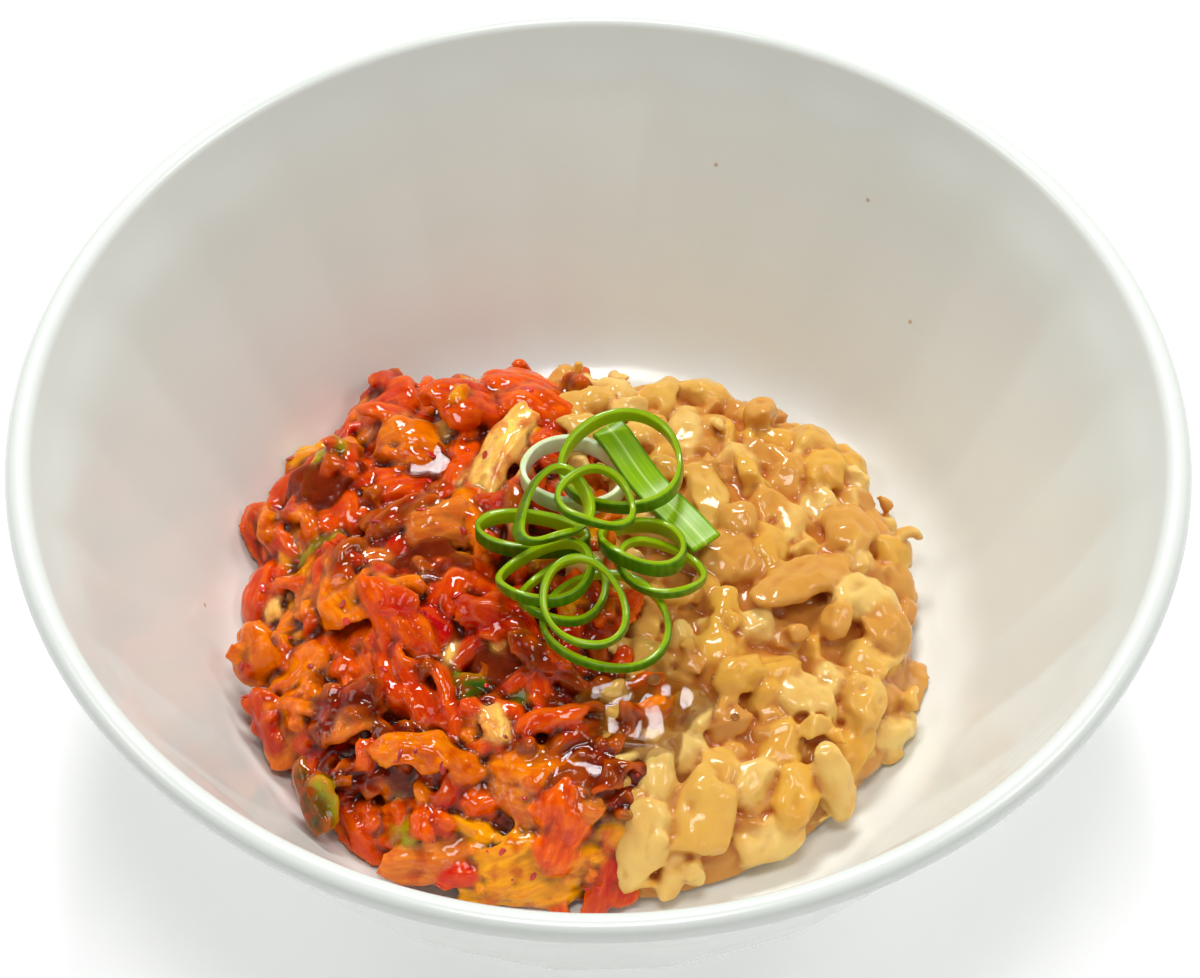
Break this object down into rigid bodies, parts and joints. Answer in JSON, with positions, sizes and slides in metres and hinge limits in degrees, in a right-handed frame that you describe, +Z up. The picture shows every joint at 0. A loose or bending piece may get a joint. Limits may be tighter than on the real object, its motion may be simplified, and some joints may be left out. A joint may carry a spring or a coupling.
{
  "type": "bowl of kimchi and chopped natto",
  "caption": "White faceted bowl holding cut kimchi and chopped natto side by side, topped with a small pile of sliced spring onion.",
  "frame": {"origin": "centre of the bowl's foot on the table", "axes": "+Z up, -Y towards the eater, kimchi towards -X and natto towards +X"},
  "size_m": [0.1498, 0.1498, 0.055],
  "materials": {
    "bowl": "white moulded melamine, satin gloss",
    "kimchi": "wet, translucent red and orange cabbage",
    "natto": "sticky, creamy tan chopped soybean",
    "onion_green": "fresh, moist green leaf",
    "onion_white": "fresh, moist pale stem"
  },
  "bodies": {
    "root": {"bowl": "bowl", "kimchi_heap": "kimchi", "natto_heap": "natto", "onion_ring_wide_pale": "onion_green", "onion_ring_white": "onion_white", "onion_ring_flattened": "onion_green", "onion_ring_low_left": "onion_green", "onion_ring_low_right": "onion_green", "onion_ring_left": "onion_green", "onion_ring_broad": "onion_green", "onion_ring_large": "onion_green", "onion_ring_tall": "onion_green", "onion_ring_small": "onion_green", "onion_ring_front": "onion_green", "onion_leaf_strip": "onion_green"}
  },
  "joints": []
}
